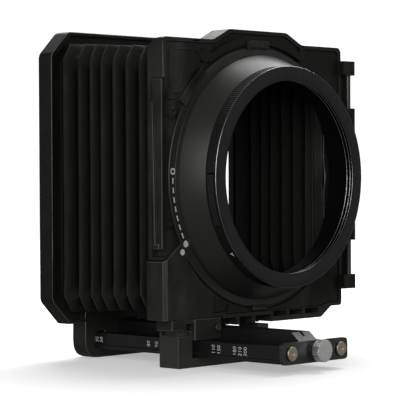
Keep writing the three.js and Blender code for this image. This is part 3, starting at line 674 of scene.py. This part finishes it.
def make_pleat(index):
    """One fold of cloth, from a ridge down to its valley and up to the next ridge."""
    chance = random.Random(100 + index)
    y0 = ridge_place(index)
    first, last = index == 0, index == PLEATS - 1
    start_half = REAR_CLAMP_HALF if first else ridge_half(index)
    end_half = ridge_half(index + 1)
    length = ridge_place(index + 1) - y0 + (TUCK_LENGTH if last else 0.0)
    valley = min(start_half, end_half) - (FIRST_DEPTH if first else LAST_DEPTH if last else PLEAT_DEPTH)
    steps = 16
    crest_at = round(steps * (ridge_place(index + 1) - y0) / length) if last else steps
    sway = [chance.uniform(-0.25, 0.25) for _ in range(4)]
    rings, depths = [], []
    for k in range(steps + 1):
        t = k / steps
        fold = min(k / crest_at, 1.0)
        tuck = max(0, k - crest_at) / max(1, steps - crest_at)
        crest = start_half + (end_half - start_half) * fold
        drop = 1 - abs(math.cos(math.pi * fold)) ** 1.15   # round ridges and a sharp valley
        half = crest - (crest - valley) * drop - (end_half - TUCKED_HALF) * tuck
        cut = 1 + 0.25 * drop
        crease = CREASE * drop * (crest - valley) / PLEAT_DEPTH
        points = octagon_ring(half, y0 + length * t, CUT_X * cut, CUT_Z * cut, crease)
        ring = []
        for x, y, z in points:
            wave = sway[0] * math.sin(z / 17.0 + index) + sway[1] * math.sin(x / 21.0 + 2.0 * index)
            ring.append((x, y + wave * math.sin(math.pi * t), z))
        rings.append(ring)
        # Painted shade: the cloth tucked into the mouth counts as deepest, so it is darkest; the cut corners
        # are darkened less, and the negative values mark worn ridges and creases.
        drop = min(1.0, drop + tuck)
        if k in (0, crest_at):
            corner = [-0.5] * 4
        elif k == crest_at // 2:
            corner = [drop, 0.1, -0.3, 0.1]
        else:
            corner = [drop, drop * 0.5, drop * 0.25, drop * 0.5]
        depths += ([drop] * PER_SIDE + corner) * 4
    piece = finish_cloth(f"bellows_pleat_{index + 1}", rings, depths)
    finish_piece(piece, None, "bellows_cloth", [f"bellows_fold_{index}"] if index else [], 50.0)
    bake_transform(piece)


def make_front_clamp():
    """The clamping frame that holds the cloth in the mouth; it fills the hole's cut corners."""
    outer, inner, y0, y1 = 57.9, 53.4, 65.0, 67.6
    mesh = bmesh.new()
    loops = []
    for half, y, cut_x, cut_z in (
        (outer, y0, 5.0, 7.0), (outer, y1, 5.0, 7.0), (inner, y1, 3.0, 3.0), (inner, y0, 3.0, 3.0),
    ):
        loops.append([mesh.verts.new(place(*point)) for point in octagon_ring(half, y, cut_x, cut_z)])
    for n, here in enumerate(loops):
        bridge(mesh, here, loops[(n + 1) % len(loops)])
    piece = object_from("front_clamp_frame", mesh)
    finish_piece(piece, "front", SLOT_OF["bellows_front_clamp"], ["bellows_front_clamp"])


def make_gap_shade_lip():
    """A lip under the standard's lower opening, just above the rail's spine, which closes the slit there so
    that it shows dark: it stands in for the shade in that slit.
    """
    lip = [(7.1, -64.25), (7.1, -64.5), (7.3, -64.7), (9.4, -64.7), (9.6, -64.5), (9.6, -64.25)]
    stations = (-24.9, -24.7, -9.0, 7.3, 7.5)
    mesh = bmesh.new()
    rows = []
    for n, x in enumerate(stations):
        shrink = 0.1 if n in (0, len(stations) - 1) else 0.0
        rows.append([mesh.verts.new(place(x, y + shrink * (1 if y < 8 else -1), z + shrink * (z < -64.6)))
                     for y, z in lip])
    for here, there in zip(rows, rows[1:]):
        bridge(mesh, here, there)
    mesh.faces.new(rows[0])
    mesh.faces.new(list(reversed(rows[-1])))
    finish_piece(object_from("gap_shade_lip", mesh), "standard", SLOT_OF["rear_frame"])


# ---- Marks ---------------------------------------------------------------------------------
MARK_RADIUS, FLANGE_FACE = 55.0, -0.7        # the scale's radius, and Y of the flange it is on
OPEN_MARK, LOCKED_MARK = 177.1, 210.6        # degrees round the flange
DASHES, DASH_HALF_TURN, DASH_HALF_WIDTH = 7, 1.25, 0.35
DOT_RADIUS, OPEN_RADIUS = 1.45, 0.75         # the dots, and the hole in the open circle
INDEX_DOT, INDEX_RADIUS, INDEX_FACE = (-49.9, -31.4), 1.35, -1.2
RIM_MARK_TURN, RIM_MARK_RADIUS = 222, 48.32
RIM_MARK_BASE, RIM_MARK_TIP, RIM_MARK_HALF = -17.4, -15.6, 1.1
MARK_HEIGHT = 0.04


def flat_mark(mesh, outline, y):
    """A thin raised patch, facing the lens side, from a list of (x, z)."""
    back = [mesh.verts.new(place(x, y, z)) for x, z in outline]
    front = [mesh.verts.new(place(x, y - MARK_HEIGHT, z)) for x, z in outline]
    mesh.faces.new(front)
    mesh.faces.new(list(reversed(back)))
    for i in range(len(outline)):
        j = (i + 1) % len(outline)
        mesh.faces.new((front[i], front[j], back[j], back[i]))


def disc(cx, cz, radius, steps=28):
    return [(cx + radius * math.cos(math.tau * k / steps), cz + radius * math.sin(math.tau * k / steps))
            for k in range(steps)]


def mark_piece(name, mesh, body):
    finish_piece(object_from(name, mesh), body, "white_marking")


def make_ring_scale():
    """An open circle, seven dashes and a solid dot round the clamp ring's flange."""
    mesh = bmesh.new()
    half, width = math.radians(DASH_HALF_TURN), DASH_HALF_WIDTH
    for k in range(1, DASHES + 1):
        middle = math.radians(OPEN_MARK + (LOCKED_MARK - OPEN_MARK) * k / (DASHES + 1))
        steps = ((-width, -half), (width, -half), (width, half), (-width, half))
        corners = [(MARK_RADIUS + dr, middle + da) for dr, da in steps]
        flat_mark(mesh, [(r * math.cos(a), r * math.sin(a)) for r, a in corners], FLANGE_FACE)
    angle = math.radians(LOCKED_MARK)
    solid = disc(MARK_RADIUS * math.cos(angle), MARK_RADIUS * math.sin(angle), DOT_RADIUS)
    flat_mark(mesh, solid, FLANGE_FACE)
    angle = math.radians(OPEN_MARK)
    cx, cz = MARK_RADIUS * math.cos(angle), MARK_RADIUS * math.sin(angle)
    outer, inner = disc(cx, cz, DOT_RADIUS), disc(cx, cz, OPEN_RADIUS)
    for k in range(len(outer)):
        j = (k + 1) % len(outer)
        flat_mark(mesh, [outer[k], outer[j], inner[j], inner[k]], FLANGE_FACE)
    bmesh.ops.remove_doubles(mesh, verts=mesh.verts, dist=1e-7)
    mark_piece("ring_scale_marks", mesh, "clamp")


def make_index_dot():
    """The dot on the corner block that the ring's scale is read against."""
    mesh = bmesh.new()
    flat_mark(mesh, disc(*INDEX_DOT, INDEX_RADIUS), INDEX_FACE)
    mark_piece("index_dot", mesh, "standard")


def make_adapter_mark():
    """A small triangle on the adapter's rim."""
    mesh = bmesh.new()
    angle = math.radians(RIM_MARK_TURN)
    along = Vector((-math.sin(angle), 0, math.cos(angle)))
    out = Vector((math.cos(angle), 0, math.sin(angle)))
    middle = out * RIM_MARK_RADIUS
    base, tip = Vector((0, RIM_MARK_BASE, 0)), Vector((0, RIM_MARK_TIP, 0))
    corners = [middle + along * RIM_MARK_HALF + base, middle - along * RIM_MARK_HALF + base, middle + tip]
    low = [mesh.verts.new(place(*c)) for c in corners]
    high = [mesh.verts.new(place(*(c + out * MARK_HEIGHT))) for c in corners]
    mesh.faces.new(high)
    mesh.faces.new(list(reversed(low)))
    bridge(mesh, low, high)
    mark_piece("adapter_index", mesh, "adapter")


RAIL_FACE = -39.62                           # X of the rail's left face
RAIL_MARK_Z = -72.6
NUMBER_SIZE, NUMBER_HALF_HEIGHT = 2.65, 0.02


def make_rail_numbers():
    """Plain numbers for focal lengths on the rail's side, written across it in pairs."""
    rows = [(62.8, "35"), (60.0, "50"), (29.9, "80"), (24.9, "90"), (-9.2, "110"), (-12.3, "150"),
            (-21.4, "180"), (-24.4, "210"), (-27.4, "300")]
    merged = bmesh.new()
    for y, text in rows:
        curve = bpy.data.curves.new("number", "FONT")
        curve.body = text
        curve.size = NUMBER_SIZE
        curve.extrude = NUMBER_HALF_HEIGHT
        curve.align_x = "CENTER"
        curve.align_y = "CENTER"
        curve.resolution_u = 3
        letter = bpy.data.objects.new("number", curve)
        scene.collection.objects.link(letter)
        bpy.context.view_layer.update()
        mesh = bpy.data.meshes.new_from_object(letter.evaluated_get(bpy.context.evaluated_depsgraph_get()))
        # The text's height runs along the rail and its line runs up the rail's side.
        turn = Matrix(((0, 0, -1, RAIL_FACE), (0, 1, 0, y), (1, 0, 0, RAIL_MARK_Z), (0, 0, 0, 1)))
        mesh.transform(TO_FRAME @ turn)
        merged.from_mesh(mesh)
        bpy.data.objects.remove(letter)
        bpy.data.curves.remove(curve)
        bpy.data.meshes.remove(mesh)
    mark_piece("rail_numbers", merged, "front")


# ---- The whole shade -----------------------------------------------------------------------
make_camera()
make_studio()
# Each skin's node, the rounding of all its edges, of its outline, and of its corners before that.
for node, *amounts in (
    ("rear_frame", 0.25, 0.8), ("corner_block", 0.25, 0.4), ("neck_bracket", 0.3),
    ("slider_carriage", 0.25, 0.35), ("lock_button", 0.12), ("latch_bar", 0.3), ("lens_plate", 0.3),
    ("release_catch", 0.12), ("mouth_frame", 0.3, 0.7, 1.6), ("rail", 0.2), ("end_plate", 0.2),
    ("end_screw_left", 0.2), ("end_screw_right", 0.2), ("foot_screw_left", 0.2), ("foot_screw_right", 0.2),
    ("door_screw_upper", 0.15), ("door_screw_lower", 0.12), ("neck_screw", 0.15), ("thumb_screw", 0.12),
    ("bellows_rear_clamp", 0.15),
):
    skin(node, *amounts)
# These stay as the CAD has them, with a better material.
for node in (
    "hinge_pin", "snap_ring", "catch_spring", "lock_spring", "filter_spring_left", "filter_spring_right",
):
    cad = frame["nodes"][node]
    cad.data.materials.clear()
    cad.data.materials.append(MATERIALS[SLOT_OF[node]])
make_clamp_ring()
make_adapter()
for strip in (
    ("ring_tab_top", 92, 7, 60.2), ("ring_tab_left", 138, 9.5, 60.2), ("ring_tab_bottom", 268.5, 5, 58.8),
):
    make_strip(*strip)
for number in range(PLEATS):
    make_pleat(number)
make_front_clamp()
make_gap_shade_lip()
make_ring_scale()
make_index_dot()
make_adapter_mark()
make_rail_numbers()
